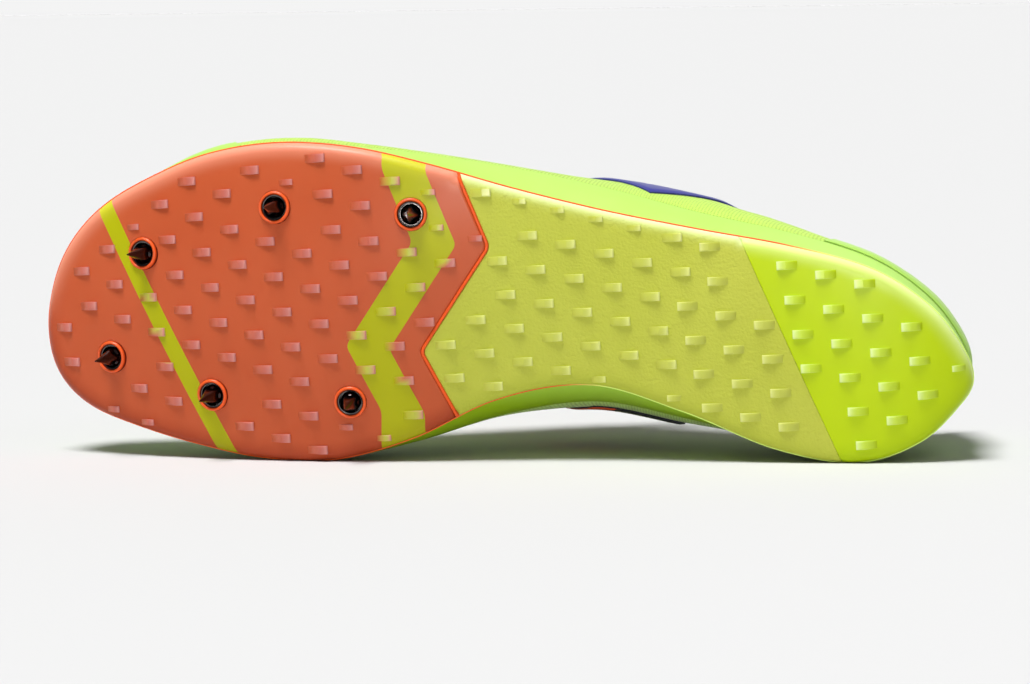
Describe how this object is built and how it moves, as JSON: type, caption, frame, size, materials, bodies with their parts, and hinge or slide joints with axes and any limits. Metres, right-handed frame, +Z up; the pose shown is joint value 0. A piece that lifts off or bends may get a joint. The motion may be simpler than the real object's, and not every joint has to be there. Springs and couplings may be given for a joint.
{
  "type": "track spike shoe",
  "caption": "Low-cut track spike shoe for the left foot, lying on its inner side: hollow upper, full-length midsole, fields of lugged outsole and screw-in spikes at the forefoot.",
  "frame": {"origin": "on the floor under the centre of the shoe's box as it lies on its inner side", "axes": "+X along the shoe from toe to heel, +Y from the sole towards the collar, +Z up, which is the shoe's outer side"},
  "size_m": [0.2826, 0.1152, 0.0963],
  "materials": {
    "eyestay_film": "thin welded film",
    "forefoot_rubber": "translucent, glossy",
    "counter_film": "thin welded film",
    "heel_rubber": "translucent, glossy",
    "panel_orange": "thin welded film",
    "sock_fabric": "brushed knit",
    "lace_cord": "flat woven lace",
    "midsole_foam": "moulded foam with a satin skin",
    "panel_blue": "thin welded film",
    "socket_steel": "bright rim",
    "spike_steel": "dark, polished",
    "plate_edge": "satin",
    "bumper_film": "thin welded film",
    "tongue_mesh": "padded mesh",
    "upper_mesh": "fine engineered mesh",
    "waist_rubber": "fine leather grain"
  },
  "bodies": {
    "root": {"eyestay": "eyestay_film", "forefoot_outsole": "forefoot_rubber", "heel_counter": "counter_film", "heel_outsole": "heel_rubber", "inner_panel": "panel_orange", "insole": "sock_fabric", "lace": "lace_cord", "midsole": "midsole_foam", "outer_panel": "panel_blue", "socket_1": "socket_steel", "socket_2": "socket_steel", "socket_3": "socket_steel", "socket_4": "socket_steel", "socket_5": "socket_steel", "socket_6": "socket_steel", "spike_1": "spike_steel", "spike_2": "spike_steel", "spike_3": "spike_steel", "spike_4": "spike_steel", "spike_5": "spike_steel", "spike_6": "spike_steel", "spike_plate": "plate_edge", "toe_bumper": "bumper_film", "tongue": "tongue_mesh", "upper": "upper_mesh", "waist_outsole": "waist_rubber"}
  },
  "joints": []
}
